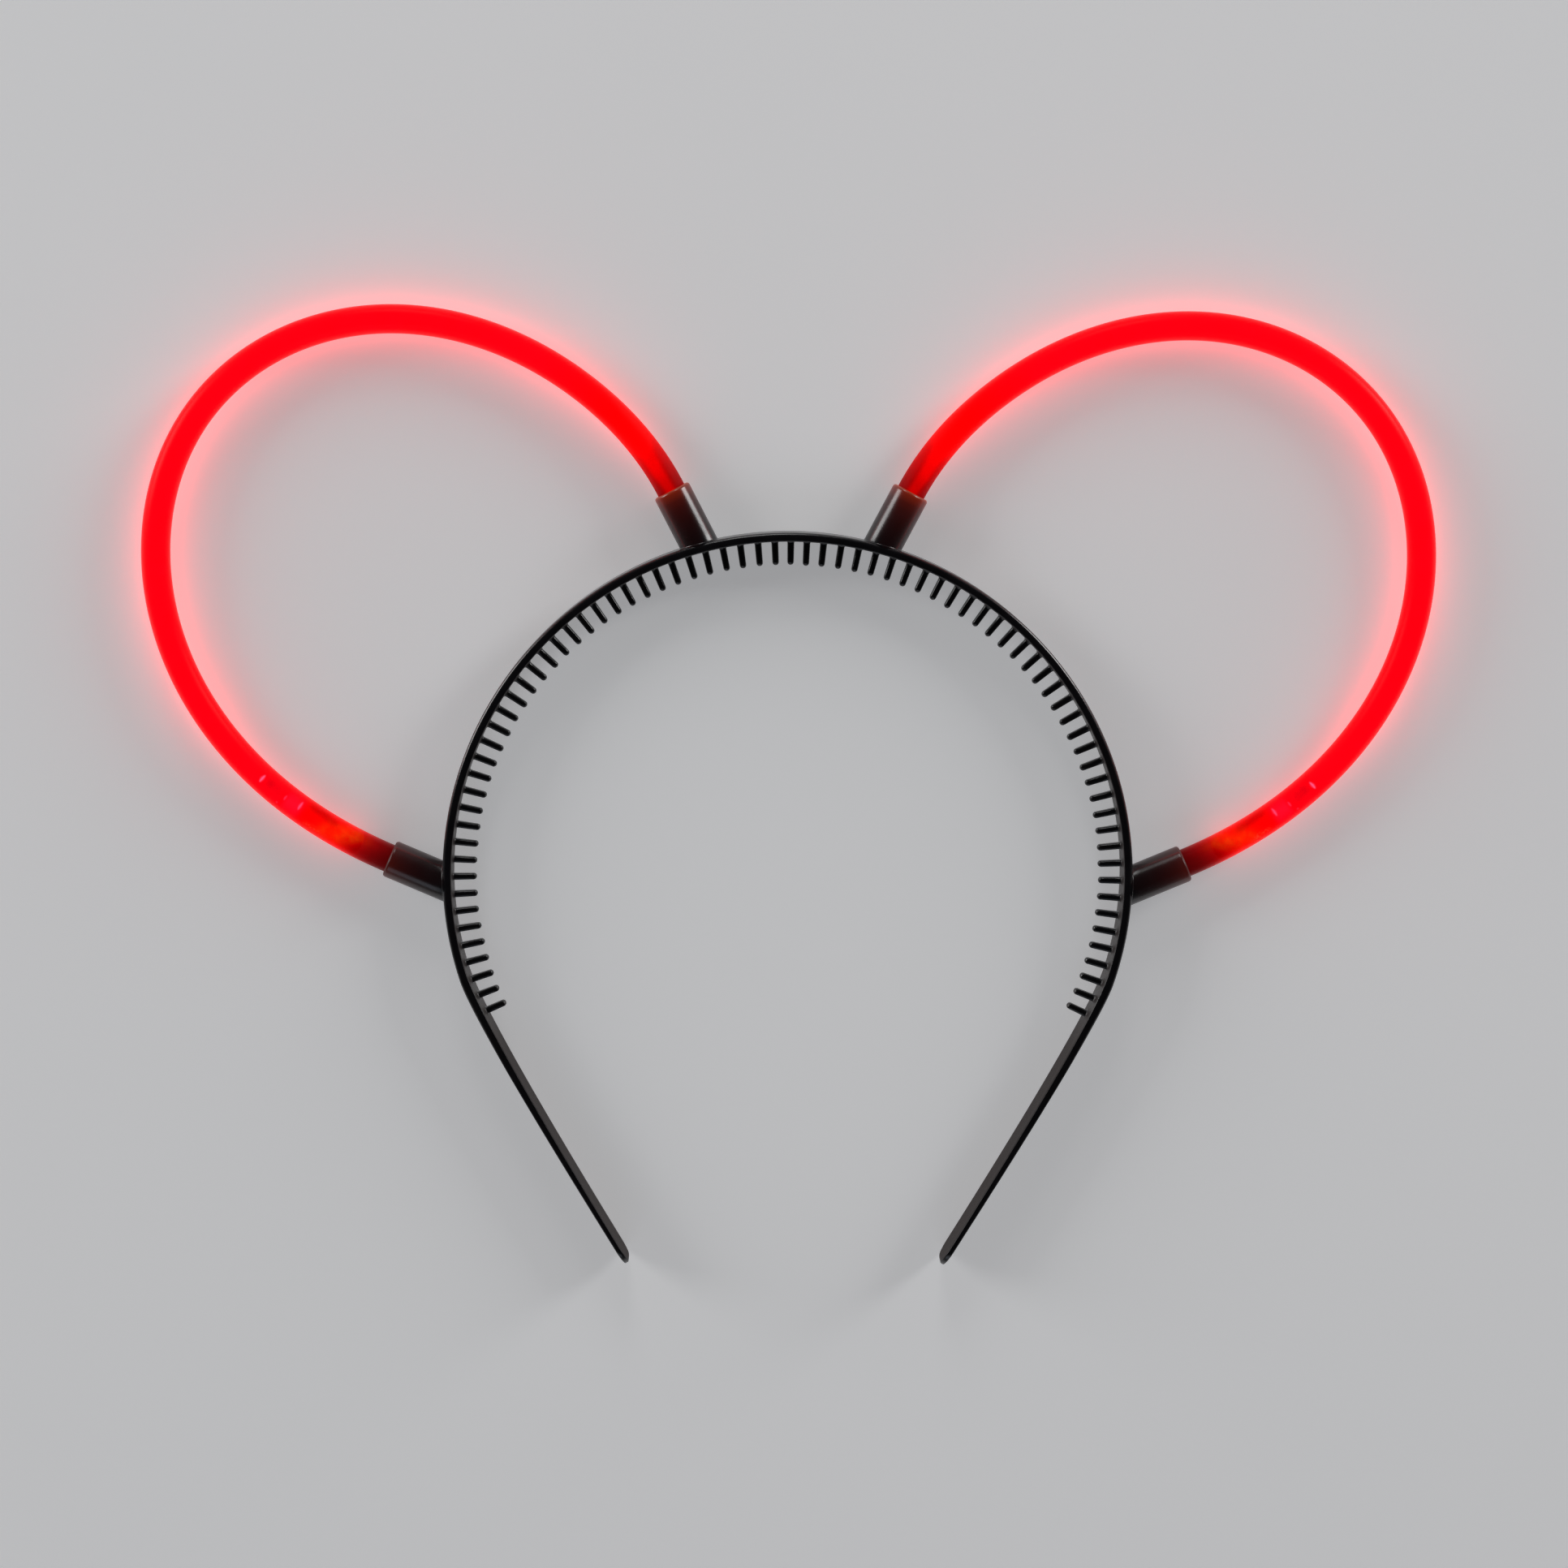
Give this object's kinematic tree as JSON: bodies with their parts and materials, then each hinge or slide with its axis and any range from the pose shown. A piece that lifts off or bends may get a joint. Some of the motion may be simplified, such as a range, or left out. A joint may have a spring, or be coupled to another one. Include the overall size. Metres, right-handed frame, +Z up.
{
  "type": "light-up bunny ears headband",
  "caption": "Black plastic comb headband with glow sticks plugged into outside sockets and bent into open ear loops that shine red.",
  "frame": {"origin": "on the surface the headband lies on, under the middle of its whole outline", "axes": "+Z up through the depth of the band, +Y from the arm tips towards the tops of the ears, +X across to the right-hand ear"},
  "size_m": [0.2198, 0.165, 0.007],
  "materials": {
    "black_plastic": "moulded, semi-gloss, smooth outside and faintly textured inside the arms",
    "clear_red_tube": "soft clear-red tube, smooth and slightly milky",
    "glowing_liquid": "luminous red liquid, lit from within"
  },
  "bodies": {
    "root": {"headband": "black_plastic", "glow_tube_left": "clear_red_tube", "glow_fluid_left": "glowing_liquid", "glow_tube_right": "clear_red_tube", "glow_fluid_right": "glowing_liquid"}
  },
  "joints": []
}
